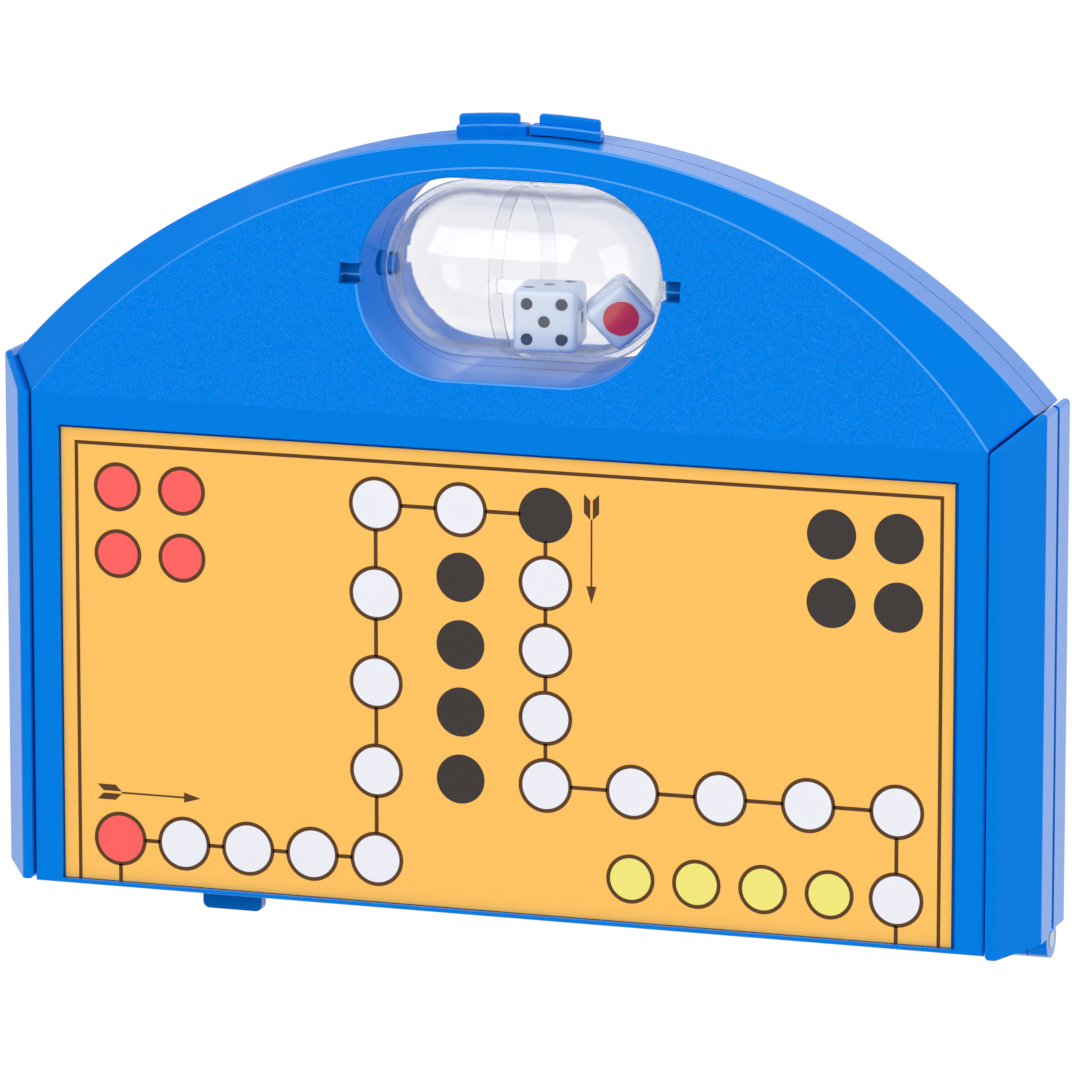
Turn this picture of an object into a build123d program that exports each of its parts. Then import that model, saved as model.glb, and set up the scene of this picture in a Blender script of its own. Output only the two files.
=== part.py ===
from build123d import *
import math
import os

# Folding ludo board box.
# Two identical moulded half cases are hinged at the foot and close on each other. Each carries half
# of the board on its outer face, a window through which a clear dice capsule turns, and two side
# rails that hold the hinge knuckles. The back half is the front half turned half round about Z.
# Frame: X runs across the board, Y from front to back with the split plane at Y = 0, Z is up, and
# the box stands at Z = 0 on its hinge barrels and locating tabs.
# Heights are taken from the fold axis and depths from the split plane unless a name says otherwise.

# ---------------------------------------------------------------- driving dimensions, mm and degrees
# outline of a half case, built up around the board
HALF_DEPTH = 16.5
COVER_SETBACK = 0.4
SIDE_BORDER = 5.7
TOP_BORDER = 6.05
FACE_TILT = 10.0
CROWN_RISE = 47.7
CROWN_SPREAD = 10.1
CREASE_DROP = 4.6
CROWN_WALL_DEPTH = 7.5
EDGE_ROUND = 0.5
MITRE_ANGLE = 41.0
WALL = 2.0
SPLIT_GAP = 0.3

# board sheet and print, glued into a recess that a thin lip closes at the fold
BOARD_WIDTH = 163.0
BOARD_HEIGHT = 81.35
BOARD_SHIFT = -0.3
LIP_THICKNESS = 0.85
LIP_GAP = 0.1
RECESS_DEPTH = 1.6
RECESS_MARGIN = 0.6
RECESS_FLOOR = 1.8
SHEET_THICKNESS = 0.5
PRINT_THICKNESS = 0.2

# window, sized round the capsule, and the bearings beside it
WINDOW_END_GAP = 2.0
WINDOW_SIDE_GAP = 1.6
WINDOW_DROP = 24.0
WINDOW_ROUND = 0.5
TUNNEL_WALL = 1.8
LUG_RADIUS = 9.8
LUG_LENGTH = 4.5
SIGHT_SLOT_LENGTH = 3.3
SIGHT_SLOT_HEIGHT = 3.6
SIGHT_FLOOR_ROUND = 3.0

# side rails
RAIL_WIDTH = 7.6
RAIL_SIDE_GAP = 0.4
RAIL_MITRE_GAP = 0.35
RAIL_STRIP = 1.8
RAIL_SLANT_DEPTH = 8.9
RAIL_SLIT = 1.4
RAIL_WALL = 1.8
RAIL_BASE_HEIGHT = 5.2
PLAIN_RAIL_FOOT = -0.3
OUTER_RAIL_FOOT = 0.5
RAIL_FOOT_SLANT = 1.2
RAIL_FOOT_ROUND = 0.7
RAIL_TOP_PAD = 1.8
RAIL_ROUND = 0.8
PEG_RADIUS = 1.5
PEG_DEPTH = 5.5
PEG_FIT = 0.1
PEG_COUNT = 3
PEG_FIRST_HEIGHT = 16.0
PEG_PITCH = 28.0

# hinge
BARREL_DIAMETER = 6.4
BARREL_END_INSET = 0.2
KNUCKLE_GAP = 0.2
KNUCKLE_RELIEF = 0.35
PIN_DIAMETER = 3.0
PIN_GRIP_FIT = 0.01
PIN_RUNNING_FIT = 0.06
PIN_PROUD = 0.1

# locating tab under one end of the fold edge and the slot for the other half's tab
TAB_LENGTH = 11.0
TAB_THICKNESS = 2.2
TAB_OFFSET = 51.3
TAB_DEPTH = 11.5
TAB_CORNER = 1.2
TAB_CLEARANCE = 0.7

# catch at the crown: each half has one block that laps over the other half's rim
CATCH_LENGTH = 13.0
CATCH_HEIGHT = 2.0
CATCH_THICKNESS = 3.2
CATCH_GAP = 0.3
CATCH_RIB_HEIGHT = 1.8
CATCH_RIB_THICKNESS = 1.6
CATCH_RIB_INSET = 0.4
CATCH_RIB_STEP = 1.5
CATCH_ROOT = 1.2
CATCH_ROUND = 0.65

# dice capsule
CAPSULE_RADIUS = 15.6
CAPSULE_HALF_LENGTH = 25.7
CAPSULE_END_ROUND = 15.0
CAPSULE_WALL = 1.2
SEAM_GAP = 0.1
SPIGOT_LENGTH = 2.6
SPIGOT_WALL = 0.6
SPIGOT_FIT = 0.05
SPIGOT_ROOT = 0.5
KEY_LENGTH = 0.9
KEY_HEIGHT = 2.5
TRUNNION_RADIUS = 2.2
TRUNNION_REACH = 4.2
TRUNNION_FIT = 0.08
TRUNNION_BORE_END = 0.4

# dice
DIE_EDGE = 11.2
DIE_ROUND = 1.3
COLOUR_DIE_EDGE = 9.2
COLOUR_DIE_ROUND = 1.4
PIP_RADIUS = 1.05
PIP_DEPTH = 0.25
PIP_PITCH = 3.05
SPOT_RADIUS = 3.1
SPOT_DEPTH = 0.15
# where the dice lie in the capsule: short of its right end, forwards and down from its middle
NUMBER_DIE_END_DISTANCE = 22.0
NUMBER_DIE_FORWARD = 0.0
NUMBER_DIE_DROP = 7.7
NUMBER_DIE_TURN = 7.7
COLOUR_DIE_END_DISTANCE = 9.93
COLOUR_DIE_FORWARD = -2.34
COLOUR_DIE_DROP = 6.6
COLOUR_DIE_TURNS = (18.2, 5.3, 47.5)

# pawns, standing inside the back half, held by a disc magnet in each base to the steel sheet
PAWN_BASE_RADIUS = 4.1
PAWN_BASE_HEIGHT = 1.7
PAWN_WAIST_RADIUS = 3.3
PAWN_NECK_RADIUS = 1.4
PAWN_HEAD_RADIUS = 2.3
PAWN_HEIGHT = 12.0
PAWN_COLUMNS = 4
PAWN_PITCH = 14.0
PAWN_FIRST_HEIGHT = 14.0
PAWN_COLOURS = ("red", "black", "yellow", "green")
MAGNET_RADIUS = 2.4
MAGNET_THICKNESS = 1.2
MAGNET_FIT = 0.05

# ---------------------------------------------------------------- derived sizes
FOLD_Z = BARREL_DIAMETER / 2
RIM_DEPTH = SPLIT_GAP / 2
BOARD_FOOT = RIM_DEPTH + LIP_THICKNESS + LIP_GAP
BOARD_TOP = BOARD_FOOT + BOARD_HEIGHT
SHOULDER_HEIGHT = BOARD_TOP + TOP_BORDER
CROWN_HEIGHT = SHOULDER_HEIGHT + CROWN_RISE
CREASE_HEIGHT = CROWN_HEIGHT - CREASE_DROP
WINDOW_CENTRE = CROWN_HEIGHT - WINDOW_DROP
WINDOW_LENGTH = 2 * (CAPSULE_HALF_LENGTH + WINDOW_END_GAP)
WINDOW_HEIGHT = 2 * (CAPSULE_RADIUS + WINDOW_SIDE_GAP)
SHELL_SIDE = BOARD_WIDTH / 2 + SIDE_BORDER
CROWN_CHORD = SHELL_SIDE + CROWN_SPREAD
CROWN_RADIUS = (CROWN_CHORD**2 + CROWN_RISE**2) / (2 * CROWN_RISE)
COVER_DEPTH = HALF_DEPTH - COVER_SETBACK
SEAT_DEPTH = COVER_DEPTH - RECESS_DEPTH
FLOOR_DEPTH = SEAT_DEPTH - RECESS_FLOOR
CROWN_CENTRE = CROWN_HEIGHT - CROWN_RADIUS
RAIL_INNER = SHELL_SIDE + RAIL_SIDE_GAP
RAIL_OUTER = RAIL_INNER + RAIL_WIDTH
BARREL_OUTER_END = RAIL_OUTER - BARREL_END_INSET
BARREL_LENGTH = (BARREL_OUTER_END - RAIL_INNER - 1.5 * KNUCKLE_GAP) / 2
CAPSULE_Z = FOLD_Z + WINDOW_CENTRE
BEYOND = 30.0


# ---------------------------------------------------------------- helpers
def front_plane(depth):
    """Upright plane facing the front, at a depth from the split plane, with its origin at the fold."""
    return Plane(origin=(0, -depth, FOLD_Z), x_dir=(1, 0, 0), z_dir=(0, -1, 0))


def slab(sketch, depth_from, depth_to):
    """A sketch on the front plane made solid between two depths."""
    return extrude(front_plane(depth_from) * sketch, amount=depth_to - depth_from, dir=(0, -1, 0))


def panel(x_from, x_to, height_from, height_to):
    """Rectangle on the front plane."""
    centre = Pos((x_from + x_to) / 2, (height_from + height_to) / 2)
    return centre * Rectangle(x_to - x_from, height_to - height_from)


def rod(radius, x_from, x_to, y, z):
    """Round bar along X."""
    return Pos((x_from + x_to) / 2, y, z) * Rot(0, 90, 0) * Cylinder(radius, x_to - x_from)


def crowned(half_chord, chord_height, crown_height):
    """Flat face under a circular arc."""
    left, right = (-half_chord, chord_height), (half_chord, chord_height)
    return make_face(Line(left, right) + ThreePointArc(right, (0, crown_height), left))


def back_half(shape):
    """The same piece on the back half: turned half round about Z."""
    return Rot(0, 0, 180) * shape


# ---------------------------------------------------------------- half case shell
def tilted_plane(inset):
    """Plane of the leaning face above the shoulder, moved inwards by an inset."""
    tilt = math.radians(FACE_TILT)
    normal = (0, -math.cos(tilt), math.sin(tilt))
    depth = COVER_DEPTH - inset * math.cos(tilt)
    height = SHOULDER_HEIGHT - inset * math.sin(tilt)
    return Plane(origin=(0, -depth, FOLD_Z + height), x_dir=(1, 0, 0), z_dir=normal)


def crease_section(inset):
    """Leaning face up to the crease arc, drawn on its tilted plane."""
    tilt = math.radians(FACE_TILT)
    base = inset * math.tan(tilt)
    rise = (CREASE_HEIGHT - SHOULDER_HEIGHT) / math.cos(tilt)
    return crowned(SHELL_SIDE - inset, base, base + rise - inset)


def crown_section(inset):
    """Outline of the arched wall above the shoulder, drawn on the front plane."""
    radius = CROWN_RADIUS - inset
    half_chord = math.sqrt(radius**2 - (SHOULDER_HEIGHT - CROWN_CENTRE) ** 2)
    return crowned(half_chord, SHOULDER_HEIGHT, CROWN_HEIGHT - inset)


def mitre_height(x, gap):
    """Height of the mitred corner of the shell at an x, or of a line set off below it by a gap."""
    slope = math.radians(MITRE_ANGLE)
    return SHOULDER_HEIGHT + (x - SHELL_SIDE) * math.tan(slope) - gap / math.cos(slope)


def rail_space(side_gap, mitre_gap):
    """Outline beside the shell and under its mitred corner, on the right, set off by two gaps."""
    inner = SHELL_SIDE + side_gap
    outer = RAIL_OUTER + BEYOND
    return Polygon(
        (inner, -BEYOND),
        (outer, -BEYOND),
        (outer, mitre_height(outer, mitre_gap)),
        (inner, mitre_height(inner, mitre_gap)),
        align=None,
    )


def half_form(inset, foot, face_depth):
    """Outer form of a half case, or the hollow inside it when there is an inset."""
    side = SHELL_SIDE - inset
    lap = min(inset, 1.0)
    form = slab(panel(-side, side, foot, SHOULDER_HEIGHT + lap), RIM_DEPTH, face_depth)
    wall_depth = CROWN_WALL_DEPTH - inset
    crease = tilted_plane(inset) * crease_section(inset)
    crown = front_plane(wall_depth) * crown_section(inset)
    form += loft([crease.face(), crown.face()], ruled=True)
    form += slab(crown_section(inset), RIM_DEPTH, wall_depth)
    corner = slab(rail_space(-inset, -inset), 0, HALF_DEPTH)
    return form - corner - mirror(corner, about=Plane.YZ)


def window_outline(margin):
    """Round-ended window, grown by a margin."""
    outline = SlotOverall(WINDOW_LENGTH + 2 * margin, WINDOW_HEIGHT + 2 * margin)
    return Pos(0, WINDOW_CENTRE) * outline


def outer_form():
    """Outer form of a half case with its window cut through and the edges of its face rounded."""
    form = half_form(0, RIM_DEPTH, COVER_DEPTH)
    on_face = form.edges().filter_by(lambda edge: edge.bounding_box().max.Y < 0.01 - CROWN_WALL_DEPTH)
    shoulder = on_face.filter_by(Axis.X).sort_by(Axis.Z)[-1]
    form = fillet([edge for edge in on_face if not edge.is_same(shoulder)], EDGE_ROUND)
    form -= slab(window_outline(0), 0, HALF_DEPTH)
    reach = WINDOW_LENGTH / 2 + WINDOW_ROUND
    on_face = form.edges().filter_by(lambda edge: edge.bounding_box().max.Y < -CROWN_WALL_DEPTH)
    rim = on_face.filter_by(lambda edge: edge.bounding_box().max.X < reach)
    return fillet(rim.filter_by(lambda edge: edge.bounding_box().min.X > -reach), WINDOW_ROUND)


def bearing_lugs():
    """Half-round lugs beside the window that carry the trunnions of the capsule."""
    start = WINDOW_LENGTH / 2 + TUNNEL_WALL / 2
    lug = rod(LUG_RADIUS, start, start + LUG_LENGTH, 0, CAPSULE_Z)
    lug &= slab(panel(0, SHELL_SIDE, 0, CROWN_HEIGHT), RIM_DEPTH, LUG_RADIUS + 1)
    return lug + mirror(lug, about=Plane.YZ)


def sight_slots():
    """Square-cornered slots in the face at both ends of the window, with a rounded floor on the lug."""
    start = WINDOW_LENGTH / 2 - 1
    end = WINDOW_LENGTH / 2 + SIGHT_SLOT_LENGTH
    low = WINDOW_CENTRE - SIGHT_SLOT_HEIGHT / 2
    floor_depth = LUG_RADIUS - SIGHT_FLOOR_ROUND
    slot = slab(panel(start, end, low, low + SIGHT_SLOT_HEIGHT), floor_depth, HALF_DEPTH)
    slot -= rod(SIGHT_FLOOR_ROUND, start - 1, end + 1, -floor_depth, CAPSULE_Z)
    return slot + mirror(slot, about=Plane.YZ)


def locating_tab():
    """Tongue under the fold edge that enters the other half when the board is laid flat."""
    outline = panel(-TAB_OFFSET - TAB_LENGTH / 2, -TAB_OFFSET + TAB_LENGTH / 2, -FOLD_Z, WALL)
    depth = TAB_DEPTH - TAB_THICKNESS / 2
    tab = slab(outline, depth, depth + TAB_THICKNESS)
    low_edges = tab.edges().filter_by(Axis.Y).group_by(Axis.Z)[0]
    return fillet(low_edges, TAB_CORNER)


def locating_slot():
    """Cut that takes the other half's tab."""
    half = TAB_LENGTH / 2 + TAB_CLEARANCE
    outline = panel(TAB_OFFSET - half, TAB_OFFSET + half, -1, WALL + 1)
    depth = TAB_DEPTH - TAB_THICKNESS / 2 - TAB_CLEARANCE
    return slab(outline, depth, depth + TAB_THICKNESS + 2 * TAB_CLEARANCE)


def crown_block(x_from, x_to, foot, rise, depth_from, depth_to):
    """Block on the crown with a rounded top that follows the arc at a rise above it."""
    outline = panel(x_from, x_to, CROWN_HEIGHT + foot, CROWN_HEIGHT + rise + 1)
    outline &= Pos(0, CROWN_CENTRE) * Circle(CROWN_RADIUS + rise)
    block = slab(outline, depth_from, depth_to)
    top = block.faces().sort_by(Axis.Z)[-1]
    return fillet(block.edges().filter_by(Axis.Z) + top.edges(), CATCH_ROUND)


def crown_catch():
    """Catch block with its finger rib, left of centre, lapping over the back half's rim."""
    left, right = -CATCH_LENGTH - CATCH_GAP / 2, -CATCH_GAP / 2
    half = CATCH_THICKNESS / 2
    catch = crown_block(left, right, -CATCH_ROOT, CATCH_HEIGHT, -half, half)
    rib_left, rib_right = left + CATCH_RIB_INSET, right - CATCH_RIB_STEP
    rib_foot = CATCH_HEIGHT - 2 * CATCH_ROUND
    rib_front = half - CATCH_RIB_INSET
    rib_back = rib_front - CATCH_RIB_THICKNESS
    catch += crown_block(
        rib_left, rib_right, rib_foot, CATCH_HEIGHT + CATCH_RIB_HEIGHT, rib_back, rib_front
    )
    lap = slab(Pos(0, CROWN_CENTRE) * Circle(CROWN_RADIUS + CATCH_GAP), -HALF_DEPTH, RIM_DEPTH)
    return catch - lap


def peg_heights():
    """Heights of the rail pegs above the fold."""
    return [PEG_FIRST_HEIGHT + PEG_PITCH * index for index in range(PEG_COUNT)]


def case_shell():
    """One moulded half case, as the front half."""
    shell = outer_form()
    tunnel = slab(window_outline(TUNNEL_WALL), RIM_DEPTH, COVER_DEPTH) & shell
    shell -= half_form(WALL, WALL, FLOOR_DEPTH)
    shell += tunnel + bearing_lugs() + locating_tab() + crown_catch()
    shell -= sight_slots()
    bore_end = WINDOW_LENGTH / 2 + TRUNNION_REACH + TRUNNION_BORE_END
    shell -= rod(TRUNNION_RADIUS + TRUNNION_FIT, -bore_end, bore_end, 0, CAPSULE_Z)
    half_recess = BOARD_WIDTH / 2 + RECESS_MARGIN
    recess = panel(-half_recess, half_recess, BOARD_FOOT - LIP_GAP, BOARD_TOP + RECESS_MARGIN)
    shell -= slab(recess, SEAT_DEPTH, HALF_DEPTH)
    shell -= locating_slot()
    for height in peg_heights():
        for side in (-1, 1):
            hole = Pos(side * SHELL_SIDE, -PEG_DEPTH, FOLD_Z + height) * Rot(0, 90, 0)
            shell -= hole * Cylinder(PEG_RADIUS + PEG_FIT, 3 * WALL)
    return shell


# ---------------------------------------------------------------- board sheet and print
def board_outline():
    """Outline of the sheet and the film, which lie a little to one side in the recess."""
    middle = BOARD_SHIFT
    return panel(middle - BOARD_WIDTH / 2, middle + BOARD_WIDTH / 2, BOARD_FOOT, BOARD_TOP)


def board_sheet():
    """Steel sheet in the recess."""
    return slab(board_outline(), SEAT_DEPTH, SEAT_DEPTH + SHEET_THICKNESS)


def board_print():
    """Printed film on the sheet."""
    seat = SEAT_DEPTH + SHEET_THICKNESS
    return slab(board_outline(), seat, seat + PRINT_THICKNESS)


# ---------------------------------------------------------------- side rails and hinge
def barrel_span(is_outer):
    """Ends of a knuckle along X: the outer knuckle or the one beside the shell."""
    if is_outer:
        return BARREL_OUTER_END - BARREL_LENGTH, BARREL_OUTER_END
    return RAIL_INNER + KNUCKLE_GAP / 2, RAIL_INNER + KNUCKLE_GAP / 2 + BARREL_LENGTH


def rail_profile():
    """Plan of the rail on the right of the front half."""
    return Polygon(
        (RAIL_INNER, -HALF_DEPTH),
        (RAIL_INNER + RAIL_STRIP, -HALF_DEPTH),
        (RAIL_OUTER, -HALF_DEPTH + RAIL_SLANT_DEPTH),
        (RAIL_OUTER, -RAIL_SLIT / 2),
        (RAIL_INNER, -RAIL_SLIT / 2),
        align=None,
    )


def rail_channel():
    """Plan of the rail's hollow, open towards the shell."""
    hollow = offset(rail_profile(), amount=-RAIL_WALL, kind=Kind.INTERSECTION)
    deep, shallow = HALF_DEPTH - RAIL_WALL, RAIL_SLIT / 2 + RAIL_WALL
    mouth = Rectangle(2 * RAIL_WALL, deep - shallow)
    return hollow + Pos(RAIL_INNER, -(deep + shallow) / 2) * mouth


def rail_front(foot):
    """Front outline of the rail on the right, from its slanted foot up to the mitre."""
    outline = Polygon(
        (RAIL_INNER, foot),
        (RAIL_INNER + RAIL_STRIP, foot),
        (RAIL_OUTER, foot + RAIL_FOOT_SLANT),
        (RAIL_OUTER, mitre_height(RAIL_OUTER, RAIL_MITRE_GAP)),
        (RAIL_INNER, mitre_height(RAIL_INNER, RAIL_MITRE_GAP)),
        align=None,
    )
    inner_foot = outline.vertices().group_by(Axis.Y)[0].sort_by(Axis.X)[0]
    return fillet(inner_foot, RAIL_FOOT_ROUND)


def rounded_rail(rail):
    """The rail with its upright outer edges and the edges of its mitred top rounded."""
    in_front = rail.edges().filter_by(lambda edge: edge.bounding_box().min.Y < -RAIL_SLIT)
    outside = in_front.filter_by(lambda edge: edge.bounding_box().max.X > RAIL_INNER + RAIL_ROUND)
    upright = outside.filter_by(Axis.Z).filter_by(lambda edge: edge.bounding_box().max.Y < -RAIL_SLIT)
    on_top = outside.filter_by(lambda edge: edge.bounding_box().min.Z > FOLD_Z + BOARD_TOP)
    return fillet(upright + on_top, RAIL_ROUND)


def side_rail(has_outer_knuckle, bore_fit):
    """Side rail on the right of the front half, hollow behind, with pegs and one hinge knuckle."""
    foot = OUTER_RAIL_FOOT if has_outer_knuckle else PLAIN_RAIL_FOOT
    below = Pos(0, 0, FOLD_Z + foot)
    reach = CROWN_HEIGHT
    form = slab(rail_front(foot), RIM_DEPTH, HALF_DEPTH)
    rail = extrude(below * rail_profile(), amount=reach, dir=(0, 0, 1)) & form
    rail = rounded_rail(rail)
    hollow_top = slab(rail_space(-WALL, RAIL_MITRE_GAP + RAIL_WALL), 0, HALF_DEPTH)
    base_top = Pos(0, 0, FOLD_Z + RAIL_BASE_HEIGHT)
    rail -= extrude(base_top * rail_channel(), amount=reach, dir=(0, 0, 1)) & hollow_top

    pad_outer = RAIL_OUTER - 2 * RAIL_ROUND
    pad_plan = below * Pos((RAIL_INNER + pad_outer) / 2, -(RIM_DEPTH + RAIL_WALL) / 2)
    pad_plan *= Rectangle(pad_outer - RAIL_INNER, RAIL_WALL - RIM_DEPTH)
    between_pads = slab(rail_space(0, RAIL_MITRE_GAP + RAIL_TOP_PAD), 0, HALF_DEPTH)
    rail += (extrude(pad_plan, amount=reach, dir=(0, 0, 1)) & form) - between_pads
    rail += extrude(pad_plan, amount=RAIL_BASE_HEIGHT - foot, dir=(0, 0, 1)) & form

    relief_from, relief_to = barrel_span(not has_outer_knuckle)
    relief = rod(
        FOLD_Z + KNUCKLE_RELIEF, relief_from - KNUCKLE_GAP / 2, relief_to + KNUCKLE_GAP, 0, FOLD_Z
    )
    knuckle_from, knuckle_to = barrel_span(has_outer_knuckle)
    rail -= relief
    rail += rod(FOLD_Z, knuckle_from, knuckle_to, 0, FOLD_Z)
    rail -= rod(PIN_DIAMETER / 2 + bore_fit, RAIL_INNER - 1, RAIL_OUTER + 1, 0, FOLD_Z)

    for height in peg_heights():
        peg_root = RAIL_OUTER - RAIL_WALL / 2
        rail += rod(PEG_RADIUS, SHELL_SIDE - WALL, peg_root, -PEG_DEPTH, FOLD_Z + height)
    return rail


def hinge_pin():
    """Hinge pin on the right."""
    return rod(PIN_DIAMETER / 2, RAIL_INNER, BARREL_OUTER_END + PIN_PROUD, 0, FOLD_Z)


# ---------------------------------------------------------------- dice capsule
def capsule_form(inset):
    """Capsule outside, or the room inside it, revolved about X through the origin."""
    length = CAPSULE_HALF_LENGTH - inset
    radius = CAPSULE_RADIUS - inset
    profile = Pos(0, radius / 2) * Rectangle(2 * length, radius)
    corners = profile.vertices().group_by(Axis.Y)[-1]
    return revolve(fillet(corners, CAPSULE_END_ROUND - inset), axis=Axis.X)


def half_space(x_from, x_to):
    """Block that keeps one stretch of the capsule."""
    size = 3 * CAPSULE_RADIUS
    return Pos((x_from + x_to) / 2, 0, 0) * Box(x_to - x_from, size, size)


def trunnion(side):
    """Stub axle at one end of the capsule."""
    root = CAPSULE_HALF_LENGTH - CAPSULE_WALL / 2
    tip = WINDOW_LENGTH / 2 + TRUNNION_REACH
    ends = sorted((side * root, side * tip))
    return rod(TRUNNION_RADIUS, *ends, 0, 0)


def seam_key(clearance):
    """Key at the seam, on the front of the capsule."""
    depth = CAPSULE_WALL + 2
    size = (KEY_LENGTH + clearance, depth, KEY_HEIGHT + 2 * clearance)
    centre = Pos(-(KEY_LENGTH + clearance) / 2, -CAPSULE_RADIUS + CAPSULE_WALL - depth / 2, 0)
    return centre * Box(*size)


def capsule_left_cup():
    """Left cup, rebated inside its rim for the spigot, with the notch for the key."""
    cup = capsule_form(0) - capsule_form(CAPSULE_WALL)
    cup &= half_space(-2 * CAPSULE_HALF_LENGTH, -SEAM_GAP / 2)
    rebate_radius = CAPSULE_RADIUS - CAPSULE_WALL + SPIGOT_WALL + SPIGOT_FIT
    cup -= rod(rebate_radius, -SPIGOT_LENGTH - SPIGOT_FIT, 0, 0, 0)
    return Pos(0, 0, CAPSULE_Z) * (cup - seam_key(SEAM_GAP) + trunnion(-1))


def capsule_right_cup():
    """Right cup with the spigot that enters the left cup's rebate and the key at its rim."""
    wall = capsule_form(0) - capsule_form(CAPSULE_WALL)
    cup = wall & half_space(SEAM_GAP / 2, 2 * CAPSULE_HALF_LENGTH)
    inside = CAPSULE_RADIUS - CAPSULE_WALL
    spigot = rod(inside + SPIGOT_WALL, -SPIGOT_LENGTH, SPIGOT_ROOT, 0, 0)
    spigot -= rod(inside, -2 * SPIGOT_LENGTH, 2 * SPIGOT_ROOT, 0, 0)
    key = seam_key(0) & capsule_form(0) & half_space(-KEY_LENGTH, 0)
    key += Pos(SEAM_GAP / 2, 0, 0) * (seam_key(0) & (capsule_form(0) - capsule_form(CAPSULE_WALL)))
    return Pos(0, 0, CAPSULE_Z) * (cup + spigot + key + trunnion(1))


# ---------------------------------------------------------------- dice
def die_blank(edge, rounding):
    """Cube with rounded edges."""
    cube = Box(edge, edge, edge)
    return fillet(cube.edges(), rounding)


# turn that brings the top of a die to the face with that many pips
PIP_FACES = {1: (0, 90, 0), 2: (-90, 0, 0), 3: (0, 0, 0), 4: (0, 180, 0), 5: (90, 0, 0), 6: (0, -90, 0)}
PIP_PLACES = {
    1: [(0, 0)],
    2: [(-1, -1), (1, 1)],
    3: [(-1, -1), (0, 0), (1, 1)],
    4: [(-1, -1), (-1, 1), (1, -1), (1, 1)],
    5: [(-1, -1), (-1, 1), (0, 0), (1, -1), (1, 1)],
    6: [(-1, -1), (-1, 0), (-1, 1), (1, -1), (1, 0), (1, 1)],
}


def number_die():
    """Die with one to six sunk pips."""
    die = die_blank(DIE_EDGE, DIE_ROUND)
    for count, turn in PIP_FACES.items():
        for across, along in PIP_PLACES[count]:
            place = Pos(across * PIP_PITCH, along * PIP_PITCH, DIE_EDGE / 2)
            die -= Rot(*turn) * place * Cylinder(PIP_RADIUS, 2 * PIP_DEPTH)
    return die


def colour_die():
    """Die with one large sunk spot on each face."""
    die = die_blank(COLOUR_DIE_EDGE, COLOUR_DIE_ROUND)
    for turn in PIP_FACES.values():
        place = Rot(*turn) * Pos(0, 0, COLOUR_DIE_EDGE / 2)
        die -= place * Cylinder(SPOT_RADIUS, 2 * SPOT_DEPTH)
    return die


# ---------------------------------------------------------------- pawns
def pawn():
    """Pawn about Z, standing at the origin, with a pocket for its magnet."""
    head_height = PAWN_HEIGHT - PAWN_HEAD_RADIUS
    neck_height = head_height - math.sqrt(PAWN_HEAD_RADIUS**2 - PAWN_NECK_RADIUS**2)
    outline = Polyline(
        (0, neck_height),
        (0, 0),
        (PAWN_BASE_RADIUS, 0),
        (PAWN_BASE_RADIUS, PAWN_BASE_HEIGHT),
        (PAWN_WAIST_RADIUS, PAWN_BASE_HEIGHT),
        (PAWN_NECK_RADIUS, neck_height),
        (0, neck_height),
    )
    body = revolve(Plane.XZ * make_face(outline), axis=Axis.Z)
    body += Pos(0, 0, head_height) * Sphere(PAWN_HEAD_RADIUS)
    pocket = Cylinder(MAGNET_RADIUS + MAGNET_FIT, 2 * (MAGNET_THICKNESS + MAGNET_FIT))
    return body - pocket


def pawn_magnet():
    """Disc magnet in the base of a pawn."""
    return Pos(0, 0, MAGNET_THICKNESS / 2) * Cylinder(MAGNET_RADIUS, MAGNET_THICKNESS)


def pawn_place(row, column):
    """Where a pawn stands on the inner floor of a front half, its head towards the split."""
    x = (column - (PAWN_COLUMNS - 1) / 2) * PAWN_PITCH
    height = PAWN_FIRST_HEIGHT + row * PAWN_PITCH
    return Pos(x, -FLOOR_DEPTH, FOLD_Z + height) * Rot(-90, 0, 0)


# ---------------------------------------------------------------- assembly
def number_die_place():
    """Where the number die lies in the capsule, five pips to the front and three on top."""
    right = CAPSULE_HALF_LENGTH - NUMBER_DIE_END_DISTANCE
    turn = Rot(0, 0, NUMBER_DIE_TURN)
    return Pos(right, -NUMBER_DIE_FORWARD, CAPSULE_Z - NUMBER_DIE_DROP) * turn


def colour_die_place():
    """Where the colour die leans in the end of the capsule."""
    right = CAPSULE_HALF_LENGTH - COLOUR_DIE_END_DISTANCE
    about_z, about_x, about_y = COLOUR_DIE_TURNS
    turn = Rot(0, 0, about_z) * Rot(about_x, 0, 0) * Rot(0, about_y, 0)
    return Pos(right, -COLOUR_DIE_FORWARD, CAPSULE_Z - COLOUR_DIE_DROP) * turn


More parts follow.
